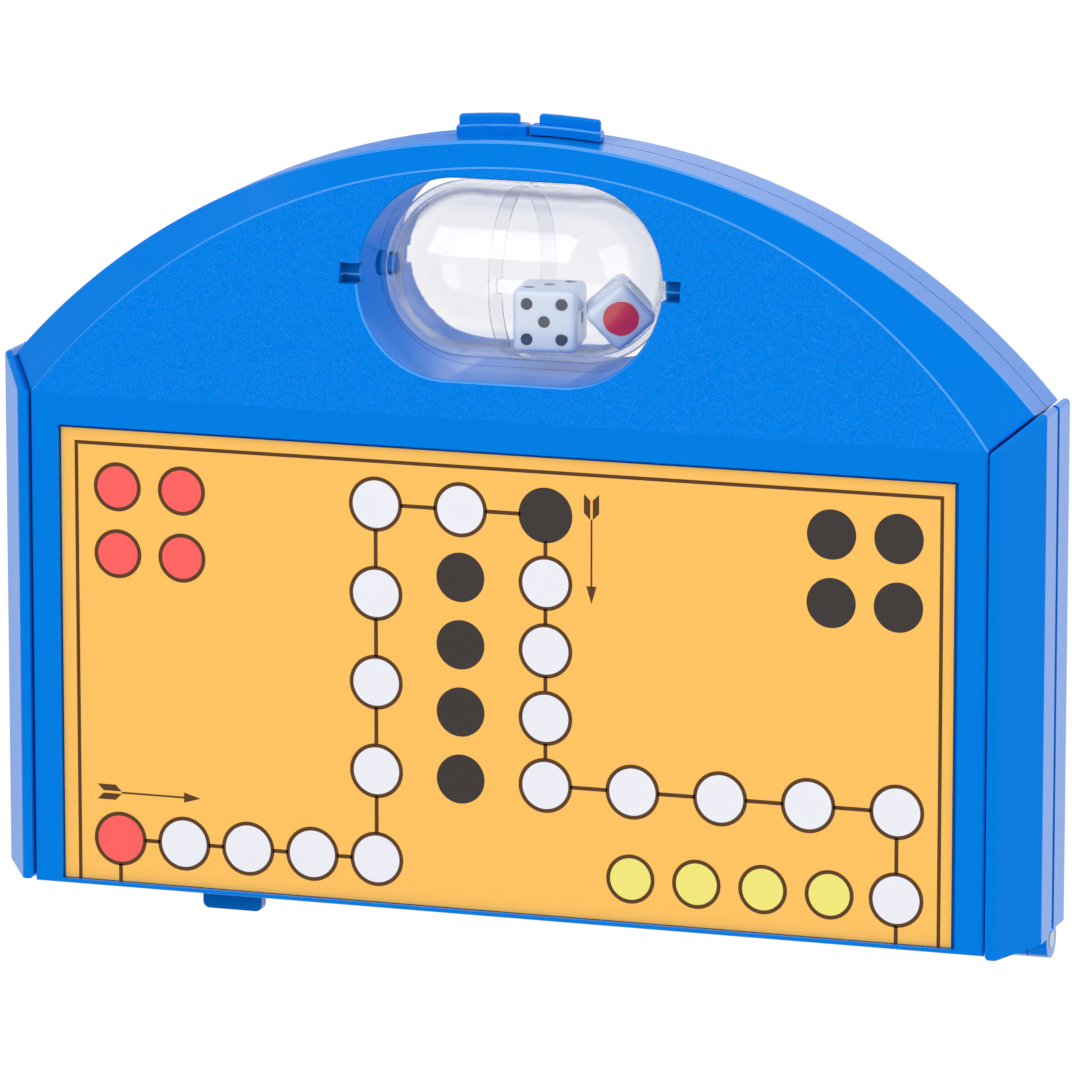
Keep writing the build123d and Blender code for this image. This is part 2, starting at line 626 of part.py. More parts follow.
def build_nodes():
    """Every piece by name, where it lies with the box closed."""
    shell = case_shell()
    plain_rail = side_rail(False, PIN_GRIP_FIT)
    outer_rail = mirror(side_rail(True, PIN_GRIP_FIT), about=Plane.YZ)
    back_outer_rail = mirror(side_rail(True, PIN_RUNNING_FIT), about=Plane.YZ)
    back_plain_rail = side_rail(False, PIN_RUNNING_FIT)
    nodes = {
        "front_shell": shell,
        "back_shell": back_half(shell),
        "front_board_sheet": board_sheet(),
        "back_board_sheet": back_half(board_sheet()),
        "front_board_print": board_print(),
        "back_board_print": back_half(board_print()),
        "front_left_rail": outer_rail,
        "front_right_rail": plain_rail,
        "back_right_rail": back_half(back_outer_rail),
        "back_left_rail": back_half(back_plain_rail),
        "right_hinge_pin": hinge_pin(),
        "left_hinge_pin": mirror(hinge_pin(), about=Plane.YZ),
        "capsule_left_cup": capsule_left_cup(),
        "capsule_right_cup": capsule_right_cup(),
        "number_die": number_die_place() * number_die(),
        "colour_die": colour_die_place() * colour_die(),
    }
    for row, colour in enumerate(PAWN_COLOURS):
        for column in range(PAWN_COLUMNS):
            place = pawn_place(row, column)
            name = f"{colour}_pawn_{column + 1}"
            nodes[name] = back_half(place * pawn())
            nodes[f"{name}_magnet"] = back_half(place * pawn_magnet())
    return nodes


def main():
    os.makedirs("parts", exist_ok=True)
    for name, shape in build_nodes().items():
        export_step(shape, f"parts/{name}.step")


main()
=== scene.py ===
import math
from functools import partial, reduce
from itertools import product
from operator import matmul
import bmesh
import bpy
from mathutils import Matrix, Vector


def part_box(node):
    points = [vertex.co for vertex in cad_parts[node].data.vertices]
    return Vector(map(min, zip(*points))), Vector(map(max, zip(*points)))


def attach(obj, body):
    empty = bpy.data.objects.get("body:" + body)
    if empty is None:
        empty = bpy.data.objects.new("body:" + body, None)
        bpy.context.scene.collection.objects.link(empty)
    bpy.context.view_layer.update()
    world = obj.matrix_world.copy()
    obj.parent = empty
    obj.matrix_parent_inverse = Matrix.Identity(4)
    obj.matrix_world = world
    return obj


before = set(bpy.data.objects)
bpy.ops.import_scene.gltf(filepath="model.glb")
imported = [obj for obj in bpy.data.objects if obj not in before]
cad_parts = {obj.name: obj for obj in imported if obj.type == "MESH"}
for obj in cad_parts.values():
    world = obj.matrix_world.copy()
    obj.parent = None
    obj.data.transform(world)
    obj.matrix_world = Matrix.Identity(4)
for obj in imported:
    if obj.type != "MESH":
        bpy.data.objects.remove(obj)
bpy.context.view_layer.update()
mm = 0.001
white = (1.0, 1.0, 1.0, 1.0)
print("frame loaded:", len(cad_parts), "nodes")


# colours are written as 0 to 255 on the standard screen curve and turned into linear light here
screenCurve = {"knee": 0.04045, "slope": 12.92, "offset": 0.055, "power": 2.4}


def linear(colour):
    values = []
    for part in colour:
        level = part / 255
        if level <= screenCurve["knee"]:
            values.append(level / screenCurve["slope"])
        else:
            lifted = (level + screenCurve["offset"]) / (1 + screenCurve["offset"])
            values.append(lifted ** screenCurve["power"])
    return (*values, 1.0)


# shader nodes are laid out in rows left of the ones that Blender makes itself, in the order of making
nodeRows = {"perRow": 8, "stepAcross": 220, "stepDown": 280}


def addNode(tree, kind, **settings):
    made = tree.nodes.new(kind)
    row, place = divmod(len(tree.nodes), nodeRows["perRow"])
    made.location = ((place - nodeRows["perRow"]) * nodeRows["stepAcross"], -row * nodeRows["stepDown"])
    for name, value in settings.items():
        setattr(made, name, value)
    return made


# a socket takes a link from another socket, or a plain value
def feed(tree, socket, source):
    if isinstance(source, bpy.types.NodeSocket):
        tree.links.new(source, socket)
    else:
        socket.default_value = source


def feedAll(tree, node, sources):
    for name, source in sources.items():
        feed(tree, node.inputs[name], source)


def mathNode(tree, operation, *sources, clamp=False):
    made = addNode(tree, "ShaderNodeMath", operation=operation, use_clamp=clamp)
    for socket, source in zip(made.inputs, sources):
        feed(tree, socket, source)
    return made.outputs[0]


# noise swings evenly about its middle value
noiseMiddle = 0.5


def noiseNode(tree, sources):
    made = addNode(tree, "ShaderNodeTexNoise")
    feedAll(tree, made, sources)
    return made.outputs["Fac"]


def addSocket(group, direction, label, kind):
    return group.interface.new_socket(name=label, in_out=direction, socket_type=f"NodeSocket{kind}")


# a node group, from its inputs as (name, kind, value) and its outputs as (name, kind)
def newGroup(name, inputs, outputs):
    group = bpy.data.node_groups.new(name, "ShaderNodeTree")
    for label, kind, value in inputs:
        socket = addSocket(group, "INPUT", label, kind)
        if value is not None:
            socket.default_value = value
    for label, kind in outputs:
        addSocket(group, "OUTPUT", label, kind)
    return group, addNode(group, "NodeGroupInput").outputs, addNode(group, "NodeGroupOutput").inputs


# fine spark-eroded grain of a moulded face: speckled height, a little light and dark, and glinting specks
sparkForm = {"detail": 3.0, "roughness": 0.65, "pits": 0.6, "glintGain": 3.0}


def sparkGrain():
    form = sparkForm
    group, given, result = newGroup(
        "sparkGrain",
        [("Position", "Vector", None), ("Mask", "Float", 1.0), ("Size per metre", "Float", 2200.0),
         ("Speckle", "Float", 0.1)],
        [("Height", "Float"), ("Light", "Float"), ("Glint", "Float")],
    )
    calc = partial(mathNode, group)
    link = group.links.new
    shared = {"Vector": given["Position"], "Scale": given["Size per metre"]}
    noise = noiseNode(group, {**shared, "Detail": form["detail"], "Roughness": form["roughness"]})
    cells = addNode(group, "ShaderNodeTexVoronoi")
    feedAll(group, cells, shared)
    rough = calc("MULTIPLY_ADD", cells.outputs["Distance"], form["pits"], noise)
    link(calc("MULTIPLY", rough, given["Mask"]), result["Height"])
    amount = calc("MULTIPLY", given["Speckle"], given["Mask"])
    link(calc("MULTIPLY_ADD", calc("SUBTRACT", noise, noiseMiddle), amount, 1.0), result["Light"])
    chance = addNode(group, "ShaderNodeSeparateColor")
    link(cells.outputs["Color"], chance.inputs[0])
    gain = form["glintGain"]
    glint = calc("MULTIPLY_ADD", chance.outputs[0], gain, 1.0 - gain, clamp=True)
    link(calc("MULTIPLY", glint, given["Mask"]), result["Glint"])
    return group


# soft uneven colour, rubbed and slightly duller places from handling, and a painted highlight mixed in
# where asked
handling = {
    "cloudScale": 28.0,
    "cloudDetail": 2.0,
    "scuffStretch": (60.0, 60.0, 900.0),
    "scuffTurn": (0.3, 0.5, 0.2),
    "scuffScale": 3.0,
    "scuffDetail": 4.0,
}


def handlingAndPaintedHighlight():
    form = handling
    group, given, result = newGroup(
        "handlingAndPaintedHighlight",
        [("Position", "Vector", None), ("Colour", "Color", (0.5, 0.5, 0.5, 1.0)), ("Light", "Float", 1.0),
         ("Roughness", "Float", 0.3), ("Unevenness", "Float", 0.04), ("Rubbing", "Float", 0.06),
         ("Painted highlight amount", "Float", 0.0), ("Painted highlight colour", "Color", white)],
        [("Colour", "Color"), ("Roughness", "Float")],
    )
    calc = partial(mathNode, group)
    link = group.links.new
    cloud = noiseNode(group, {"Vector": given["Position"], "Scale": form["cloudScale"],
                              "Detail": form["cloudDetail"]})
    drift = calc("SUBTRACT", cloud, noiseMiddle)
    shaded = addNode(group, "ShaderNodeVectorMath", operation="SCALE")
    feedAll(group, shaded, {
        "Vector": given["Colour"],
        "Scale": calc("MULTIPLY_ADD", drift, given["Unevenness"], given["Light"]),
    })
    # painted highlight: the colour is mixed towards a pale highlight colour where asked
    withPaintedHighlight = addNode(group, "ShaderNodeMixRGB")
    feedAll(group, withPaintedHighlight, {"Fac": given["Painted highlight amount"], "Color1": shaded.outputs["Vector"],
                           "Color2": given["Painted highlight colour"]})
    link(withPaintedHighlight.outputs["Color"], result["Colour"])
    stretch = addNode(group, "ShaderNodeMapping")
    feedAll(group, stretch, {"Vector": given["Position"], "Scale": form["scuffStretch"],
                             "Rotation": form["scuffTurn"]})
    scuffs = noiseNode(group, {"Vector": stretch.outputs["Vector"], "Scale": form["scuffScale"],
                               "Detail": form["scuffDetail"]})
    link(calc("MULTIPLY_ADD", scuffs, given["Rubbing"], given["Roughness"]), result["Roughness"])
    return group


# a half case in mm, for its shader and for where it gets painted highlights and painted shade: a band or a
# ring is (middle, half width)
caseForm = {
    "coverDepth": 16.1,  # the face at the shoulder, from the middle of the split between the halves
    "faceBand": 0.12,
    "creaseBand": 0.3,
    "shoulder": 91.7,  # the face leans back above this height
    "tilt": math.radians(10.0),
    "creaseCentre": -64.99,  # along the leaning face, from the shoulder
    "creaseRing": (108.75, 0.16),
    "crownCentre": 16.31,
    "crownRing": (122.85, 0.26),
    "crownDepth": (7.3, 0.33),
    "windowCentre": 115.4,
    "windowStraight": 10.5,
    "windowRing": (17.42, 0.16),
    "windowDepth": 8.0,
    "windowFade": 8.0,
    "tunnelRing": (17.2, 0.1),
    "slotEnds": (29.4, 1.64),
    "slotHeights": (0.0, 1.82),
    "slotDepths": (10.1, 1.25),
    "slotGleam": (114.95, 0.17),
    "tabEnds": (51.3, 5.8),
    "tabTop": 3.25,
    "catchRing": (124.87, 0.13),
    "catchDepth": 1.15,
}


# masks of the leaning face, the painted highlight lines on edges and the slot floors, the places with
# painted shade and the window's tunnel
def caseRegions():
    form = caseForm
    group, given, result = newGroup(
        "caseRegions", [("Position", "Vector", None)],
        [("Leaning face", "Float"), ("Painted edge lines", "Float"), ("Shaded", "Float"), ("Tunnel", "Float")],
    )
    calc = partial(mathNode, group)
    link = group.links.new

    # distance from the origin of two lengths that stand square to each other
    def crossDistance(across, along):
        return calc("SQRT", calc("MULTIPLY_ADD", across, across, calc("MULTIPLY", along, along)))

    # a mask is 1 inside and 0 outside
    def within(length, band):
        return calc("COMPARE", length, *band)

    def beyond(length, limit):
        return calc("GREATER_THAN", length, limit)

    def below(length, limit):
        return calc("LESS_THAN", length, limit)

    def allOf(*masks):
        return reduce(partial(calc, "MULTIPLY"), masks)

    def anyOf(*masks):
        return reduce(partial(calc, "MAXIMUM"), masks)

    inMm = addNode(group, "ShaderNodeVectorMath", operation="SCALE")
    feedAll(group, inMm, {"Vector": given["Position"], "Scale": 1 / mm})
    axes = addNode(group, "ShaderNodeSeparateXYZ")
    link(inMm.outputs["Vector"], axes.inputs[0])
    x, y, z = axes.outputs
    side = calc("ABSOLUTE", x)
    depth = calc("ABSOLUTE", y)

    rise = calc("SUBTRACT", z, form["shoulder"])
    above = beyond(rise, 0.0)
    upright = calc("MULTIPLY_ADD", rise, math.tan(form["tilt"]), depth)
    onFace = beyond(upright, form["coverDepth"] - form["faceBand"])
    upTheFace = calc("MULTIPLY_ADD", rise, 1 / math.cos(form["tilt"]), -form["creaseCentre"])
    fromCrease = crossDistance(x, upTheFace)
    link(allOf(onFace, above, below(fromCrease, form["creaseRing"][0])), result["Leaning face"])

    # painted highlight lines along the crease, the crown edge and the catches' rounded edges
    nearFace = beyond(upright, form["coverDepth"] - form["creaseBand"])
    crease = allOf(within(fromCrease, form["creaseRing"]), nearFace, above)
    fromCrown = crossDistance(x, calc("SUBTRACT", z, form["crownCentre"]))
    crown = allOf(within(fromCrown, form["crownRing"]), within(depth, form["crownDepth"]))
    catch = allOf(within(fromCrown, form["catchRing"]), beyond(depth, form["catchDepth"]))

    pastStraight = calc("MAXIMUM", calc("SUBTRACT", side, form["windowStraight"]), 0.0)
    up = calc("SUBTRACT", z, form["windowCentre"])
    fromWindow = crossDistance(pastStraight, up)
    # the painted highlight on the window rim shows on its lower part only, as if lit from above
    lowPart = calc("MULTIPLY_ADD", up, -1 / form["windowFade"], 0.5, clamp=True)  # 0.5 at the middle
    rim = allOf(within(fromWindow, form["windowRing"]), beyond(depth, form["windowDepth"]), lowPart)
    link(within(fromWindow, form["tunnelRing"]), result["Tunnel"])

    slot = allOf(within(side, form["slotEnds"]), within(up, form["slotHeights"]),
                 within(depth, form["slotDepths"]))
    tab = allOf(within(side, form["tabEnds"]), below(z, form["tabTop"]))
    link(anyOf(slot, tab), result["Shaded"])
    # a painted highlight streak along each slot floor; all painted highlight lines go out as one mask
    gleam = allOf(within(z, form["slotGleam"]), slot)
    link(anyOf(crease, crown, rim, gleam, catch), result["Painted edge lines"])
    return group


grainGroup = sparkGrain()
finishGroup = handlingAndPaintedHighlight()
regionGroup = caseRegions()
print("shader groups made")


def newMaterial(name):
    material = bpy.data.materials.new(name)
    material.use_nodes = True
    tree = material.node_tree
    return material, tree, tree.nodes["Principled BSDF"]


def placeGroup(tree, group, sources):
    made = addNode(tree, "ShaderNodeGroup", node_tree=group)
    feedAll(tree, made, sources)
    return made.outputs


def addBump(tree, shader, look, height):
    bump = addNode(tree, "ShaderNodeBump")
    feedAll(tree, bump, {"Strength": look["bump"], "Distance": look["height"] * mm, "Height": height})
    tree.links.new(bump.outputs["Normal"], shader.inputs["Normal"])


# gives a surface or a backdrop the mix of two shader nodes
def mixShaders(tree, share, first, second, output):
    mix = addNode(tree, "ShaderNodeMixShader")
    for socket, source in zip(mix.inputs, (share, first.outputs[0], second.outputs[0])):
        feed(tree, socket, source)
    tree.links.new(mix.outputs[0], output.inputs["Surface"])


# a weight that changes with the angle of view, in (angle, weight) steps: 0 is face-on and 1 is edge-on
def byAngle(tree, steps):
    ramp = addNode(tree, "ShaderNodeValToRGB")
    points = ramp.color_ramp.elements
    while len(points) < len(steps):
        points.new(0.5)  # its own place is set below
    for point, (angle, weight) in zip(points, steps):
        point.position = angle
        point.color = (weight, weight, weight, 1.0)
    tree.links.new(addNode(tree, "ShaderNodeLayerWeight").outputs["Facing"], ramp.inputs["Fac"])
    return ramp.outputs["Color"]


# moulded gloss mirrors little face-on and a lot edge-on, until its fine texture hides the mirror at a
# graze, so its clear coat comes in and goes again with the angle
gloss = {
    "steps": ((0.1, 0.0), (0.2, 0.1), (0.3, 0.05), (0.52, 0.08), (0.6, 0.86), (0.74, 0.98), (0.795, 0.88),
              (0.82, 0.25), (0.86, 0.03)),
    "ior": 1.55,
    "roughness": 0.1,
    "faceOn": 0.005,
}


def edgeOnGloss(tree, shader, covered=None):
    weight = byAngle(tree, gloss["steps"])
    if covered is not None:
        bare = mathNode(tree, "SUBTRACT", 1.0, covered)
        weight = mathNode(tree, "MULTIPLY", weight, bare)
    feedAll(tree, shader, {
        "Coat Weight": weight,
        "Coat IOR": gloss["ior"],
        "Coat Roughness": gloss["roughness"],
        "Specular IOR Level": gloss["faceOn"],
    })


# a plain finish is a colour, a roughness and what differs from this
plainLook = {
    "grain": 1500.0,
    "speckle": 0.0,
    "unevenness": 0.03,
    "rubbing": 0.05,
    "bump": 0.05,
    "height": 0.02,
    "metallic": 0.0,
    "ior": 1.5,
    "edgeOn": False,
    "subsurface": 0.0,
    "scatter": 1.0,
    "spread": (1.0, 1.0, 1.0),
}


def plainFinish(name, special):
    look = {**plainLook, **special}
    material, tree, shader = newMaterial(name)
    position = addNode(tree, "ShaderNodeTexCoord").outputs["Object"]
    grain = placeGroup(tree, grainGroup, {
        "Position": position,
        "Size per metre": look["grain"],
        "Speckle": look["speckle"],
    })
    finish = placeGroup(tree, finishGroup, {
        "Position": position,
        "Colour": linear(look["colour"]),
        "Light": grain["Light"],
        "Roughness": look["roughness"],
        "Unevenness": look["unevenness"],
        "Rubbing": look["rubbing"],
    })
    feedAll(tree, shader, {
        "Base Color": finish["Colour"],
        "Roughness": finish["Roughness"],
        "Metallic": look["metallic"],
        "IOR": look["ior"],
    })
    addBump(tree, shader, look, grain["Height"])
    if look["edgeOn"]:
        edgeOnGloss(tree, shader)
    if look["subsurface"]:
        feedAll(tree, shader, {
            "Subsurface Weight": look["subsurface"],
            "Subsurface Radius": look["spread"],
            "Subsurface Scale": look["scatter"] * mm,
        })
    return material


# painted highlight colour and how it fades, the painted light on the tunnel wall, and how much less the
# tunnel's ends mirror
highlightPaintAndTunnelGloss = {"colour": (104, 178, 253), "leftLoss": 2.6, "tunnel": 0.08, "tunnelEnds": 0.95}
shellLook = {
    "colour": (3, 125, 226),
    "faceLight": 1.03,
    "shadedLight": 0.62,
    "roughness": 0.24,
    "faceRoughness": 0.42,
    "unevenness": 0.03,
    "rubbing": 0.02,
    "grain": 3400.0,
    "speckle": 1.0,
    "glint": 0.07,
    "edgeHighlightPaint": 0.64,
    "bump": 0.4,
    "height": 0.04,
    "ior": 1.54,
}
# the rails are smooth all over
railLook = {
    **shellLook,
    "faceLight": 1.0,
    "shadedLight": 1.0,
    "roughness": 0.2,
    "faceRoughness": 0.2,
    "rubbing": 0.03,
    "grain": 900.0,
    "speckle": 0.0,
    "glint": 0.0,
    "edgeHighlightPaint": 0.0,
    "bump": 0.03,
    "height": 0.02,
}


# moulded case plastic: smooth gloss, spark-eroded grain with painted glints on the leaning faces only,
# painted highlight lines on rounded edges, painted light on the tunnel wall and painted shade in the sight
# slots and on the tab
def casePlastic(name, look):
    material, tree, shader = newMaterial(name)
    calc = partial(mathNode, tree)
    coordinates = addNode(tree, "ShaderNodeTexCoord").outputs
    position = coordinates["Object"]
    region = placeGroup(tree, regionGroup, {"Position": position})
    onFace = region["Leaning face"]
    grain = placeGroup(tree, grainGroup, {
        "Position": position,
        "Mask": onFace,
        "Size per metre": look["grain"],
        "Speckle": look["speckle"],
    })
    light = calc("MULTIPLY_ADD", onFace, look["faceLight"] - 1.0, grain["Light"])
    light = calc("MULTIPLY_ADD", region["Shaded"], look["shadedLight"] - 1.0, light)
    duller = look["faceRoughness"] - look["roughness"]

    # the painted highlight fades on edges that are turned to the left, as if the light came from the right
    normal = addNode(tree, "ShaderNodeSeparateXYZ")
    tree.links.new(coordinates["Normal"], normal.inputs[0])
    rightward = normal.outputs[0]
    leftward = calc("MINIMUM", rightward, 0.0)
    kept = calc("MULTIPLY_ADD", leftward, highlightPaintAndTunnelGloss["leftLoss"], 1.0, clamp=True)
    line = calc("MULTIPLY", region["Painted edge lines"], calc("MULTIPLY", kept, look["edgeHighlightPaint"]))
    # painted light on the tunnel wall
    tunnel = calc("MULTIPLY", region["Tunnel"], highlightPaintAndTunnelGloss["tunnel"])
    glint = calc("MULTIPLY", grain["Glint"], look["glint"])
    finish = placeGroup(tree, finishGroup, {
        "Position": position,
        "Colour": linear(look["colour"]),
        "Light": light,
        "Roughness": calc("MULTIPLY_ADD", onFace, duller, look["roughness"]),
        "Unevenness": look["unevenness"],
        "Rubbing": look["rubbing"],
        "Painted highlight amount": calc("MAXIMUM", calc("MAXIMUM", line, tunnel), glint),
        "Painted highlight colour": linear(highlightPaintAndTunnelGloss["colour"]),
    })
    feedAll(tree, shader, {
        "Base Color": finish["Colour"],
        "Roughness": finish["Roughness"],
        "IOR": look["ior"],
    })
    addBump(tree, shader, look, grain["Height"])

    # the ends of the tunnel mirror less than its floor and roof
    endOn = calc("MULTIPLY", calc("ABSOLUTE", rightward), region["Tunnel"])
    edgeOnGloss(tree, shader, calc("MULTIPLY", endOn, highlightPaintAndTunnelGloss["tunnelEnds"]))
    return material


capsuleLook = {
    "tint": (247, 247, 249),
    "roughness": 0.03,
    "ior": 1.42,
    "haze": 0.03,
    "unevenness": 0.0,
    "passedByAngle": ((0.5, 0.0), (0.62, 0.7), (0.76, 0.7), (0.84, 0.1)),
}


# clear polystyrene with faint handling haze; light and shadow go straight through it, and so does part of
# what is seen at a slant
def clearPlastic(name, look):
    material, tree, shader = newMaterial(name)
    finish = placeGroup(tree, finishGroup, {
        "Position": addNode(tree, "ShaderNodeTexCoord").outputs["Object"],
        "Colour": linear(look["tint"]),
        "Roughness": look["roughness"],
        "Unevenness": look["unevenness"],
        "Rubbing": look["haze"],
    })
    feedAll(tree, shader, {
        "Base Color": finish["Colour"],
        "Roughness": finish["Roughness"],
        "Transmission Weight": 1.0,
        "IOR": look["ior"],
    })
    path = addNode(tree, "ShaderNodeLightPath").outputs
    lightRay = mathNode(tree, "MAXIMUM", path["Is Shadow Ray"], path["Is Diffuse Ray"])
    share = mathNode(tree, "MAXIMUM", lightRay, byAngle(tree, look["passedByAngle"]))
    passed = addNode(tree, "ShaderNodeBsdfTransparent")
    mixShaders(tree, share, shader, passed, tree.nodes["Material Output"])
    return material


looks = {
    "printedFilm": {
        "colour": (255, 196, 100),
        "roughness": 0.42,
        "grain": 3000.0,
        "speckle": 0.04,
        "bump": 0.06,
        "edgeOn": True,
    },
    "sheetSteel": {
        "colour": (186, 188, 192),
        "metallic": 1.0,
        "roughness": 0.35,
        "grain": 1200.0,
        "bump": 0.1,
    },
    "pinSteel": {
        "colour": (188, 196, 188),
        "metallic": 1.0,
        "roughness": 0.28,
        "grain": 2500.0,
        "bump": 0.15,
    },
    "dieWhite": {
        "colour": (226, 236, 247),
        "roughness": 0.14,
        "subsurface": 0.3,
        "scatter": 1.2,
        "bump": 0.02,
    },
    "pipInk": {"colour": (58, 60, 78), "roughness": 0.3, "grain": 4000.0, "bump": 0.2},
    "ferrite": {"colour": (52, 50, 50), "roughness": 0.6, "grain": 3500.0, "speckle": 0.3, "bump": 0.4},
}
# finishes that differ in colour alone, named by family and colour
familyLooks = {
    "ink": {"roughness": 0.4, "grain": 3000.0, "bump": 0.04},
    "spot": {"roughness": 0.18, "grain": 4000.0, "bump": 0.05},
    "pawn": {"roughness": 0.22, "bump": 0.03},
}
familyColours = {
    "ink": {
        "White": (237, 238, 245),
        "Red": (254, 90, 87),
        "Yellow": (242, 231, 116),
        "Green": (112, 196, 120),
        "Black": (39, 27, 23),
        "Brown": (90, 56, 26),
    },
    "spot": {
        "Red": (240, 22, 56),
        "Green": (104, 172, 168),
        "Yellow": (240, 208, 60),
        "Black": (40, 38, 44),
    },
    "pawn": {
        "Red": (226, 44, 42),
        "Black": (34, 32, 34),
        "Yellow": (240, 214, 52),
        "Green": (36, 152, 74),
    },
}
for family, colours in familyColours.items():
    for colourName, colour in colours.items():
        looks[family + colourName] = {**familyLooks[family], "colour": colour}
looks["inkBrown"]["ior"] = 1.3  # the thin lines hardly mirror

materials = {name: plainFinish(name, look) for name, look in looks.items()}
materials["shellPlastic"] = casePlastic("shellPlastic", shellLook)
materials["railPlastic"] = casePlastic("railPlastic", railLook)
materials["clearPlastic"] = clearPlastic("clearPlastic", capsuleLook)
print("materials made:", len(materials))


# the CAD nodes take their materials
nodeFinishes = {
    "left_hinge_pin": "pinSteel",
    "right_hinge_pin": "pinSteel",
    "capsule_left_cup": "clearPlastic",
    "capsule_right_cup": "clearPlastic",
    "number_die": "dieWhite",
    "colour_die": "dieWhite",
}
for case in ("front", "back"):
    nodeFinishes[f"{case}_shell"] = "shellPlastic"
    nodeFinishes[f"{case}_board_sheet"] = "sheetSteel"
    nodeFinishes[f"{case}_board_print"] = "printedFilm"
    for hand in ("left", "right"):
        nodeFinishes[f"{case}_{hand}_rail"] = "railPlastic"
pawnColours = ("red", "black", "yellow", "green")
pawnNumbers = (1, 2, 3, 4)
for colourName, number in product(pawnColours, pawnNumbers):
    pawn = f"{colourName}_pawn_{number}"
    nodeFinishes[pawn] = f"pawn{colourName.capitalize()}"
    nodeFinishes[f"{pawn}_magnet"] = "ferrite"
for nodeName, materialName in nodeFinishes.items():
    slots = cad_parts[nodeName].data.materials
    slots.clear()
    slots.append(materials[materialName])
print("CAD nodes dressed:", len(nodeFinishes))


def makeObject(name, shape, material):
    mesh = bpy.data.meshes.new(name)
    shape.to_mesh(mesh)
    shape.free()
    mesh.materials.append(material)
    made = bpy.data.objects.new(name, mesh)
    bpy.context.scene.collection.objects.link(made)
    return made


def finishPiece(name, shape, materialName, body):
    bmesh.ops.recalc_face_normals(shape, faces=shape.faces)
    piece = makeObject(name, shape, materials[materialName])
    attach(piece, body)


# printing on the boards, drawn flat in mm, with X across and Y up from the middle of the whole pattern
printing = {
    "middleZ": 4.2,  # the pattern's middle, near the fold
    "inkThickness": 0.02,
    "shortStep": 12.0,
    "middleStep": 15.552,
    "longStep": 15.888,
    "trackRadius": 4.2,
    "homeRadius": 3.7,
    "outline": 0.7,
    "lineWidth": 0.7,
    "frameReach": 78.95,
    "frameWidth": 0.65,
    "armSteps": 4,
    "circleSteps": 48,
}
arrow = {
    "offset": 16.15,
    "tail": 75.6,
    "tip": 56.2,
    "feather": 1.15,
    "featherLength": 3.4,
    "featherSlant": 1.15,
    "featherGap": 0.45,
    "shaft": 0.33,
    "headLength": 3.1,
    "headHalf": 0.92,
}
# the columns beside the middle lane, the corners of the cross and the ends of its arms
beside = printing["middleStep"] / 2
corner = 3 * beside
armEnd = corner + printing["armSteps"] * printing["shortStep"]


# centres of the track's circles on one half of the board, in order from the start on the left arm
def trackCentres():
    short = printing["shortStep"]
    far = printing["longStep"]
    steps = range(printing["armSteps"] + 1)
    centres = [(short * step - armEnd, beside) for step in steps[:-1]]
    centres += [(-corner, beside + far * step) for step in steps]
    centres += [(-beside, armEnd)]
    centres += [(beside, armEnd - short * step) for step in steps]
    centres += [(beside + far * step, corner) for step in steps[1:]]
    return centres + [(armEnd, beside)]


# all circles of one half as (ink, x, up, radius)
def halfCircles(startInk, topInk, sideInk):
    short = printing["shortStep"]
    home = printing["homeRadius"]
    track = printing["trackRadius"]
    starts = {(-armEnd, beside): startInk, (beside, armEnd): topInk}
    circles = [(starts.get(centre, "inkWhite"), *centre, track) for centre in trackCentres()]
    for step in range(1, printing["armSteps"] + 1):
        circles.append((sideInk, armEnd - short * step, beside, home))
        circles.append((topInk, -beside, armEnd - short * step, home))
    for across, down in product((0, short), repeat=2):
        circles.append((startInk, across - armEnd, armEnd - down, home))
        circles.append((topInk, armEnd - across, armEnd - down, home))
    return circles


def inkDisc(shape, radius, x, up):
    thickness = printing["inkThickness"]
    bmesh.ops.create_cone(shape, cap_ends=True, segments=printing["circleSteps"], radius1=radius,
                          radius2=radius, depth=thickness,
                          matrix=Matrix.Translation((x, up, thickness / 2)))


def inkRing(shape, inner, outer, x, up):
    thickness = printing["inkThickness"]
    section = [(inner, 0.0), (outer, 0.0), (outer, thickness), (inner, thickness)]
    loop = [shape.verts.new((x + radius, up, height)) for radius, height in section]
    edges = [shape.edges.new(pair) for pair in zip(loop, loop[1:] + loop[:1])]
    bmesh.ops.spin(shape, geom=loop + edges, cent=(x, up, 0), axis=(0, 0, 1), angle=math.tau,
                   steps=printing["circleSteps"], use_merge=True, use_duplicate=False)


def inkBar(shape, start, end, width):
    thickness = printing["inkThickness"]
    along = Vector(end) - Vector(start)
    middle = (Vector(start) + Vector(end)) / 2
    place = (Matrix.Translation((*middle, thickness / 2))
             @ Matrix.Rotation(math.atan2(along.y, along.x), 4, "Z")
             @ Matrix.Diagonal((along.length, width, thickness, 1.0)))
    bmesh.ops.create_cube(shape, size=1.0, matrix=place)


def inkPatch(shape, outline):
    patch = shape.faces.new([shape.verts.new((x, up, 0.0)) for x, up in outline])
    grown = bmesh.ops.extrude_face_region(shape, geom=[patch])
    raised = [item for item in grown["geom"] if isinstance(item, bmesh.types.BMVert)]
    bmesh.ops.translate(shape, verts=raised, vec=(0.0, 0.0, printing["inkThickness"]))


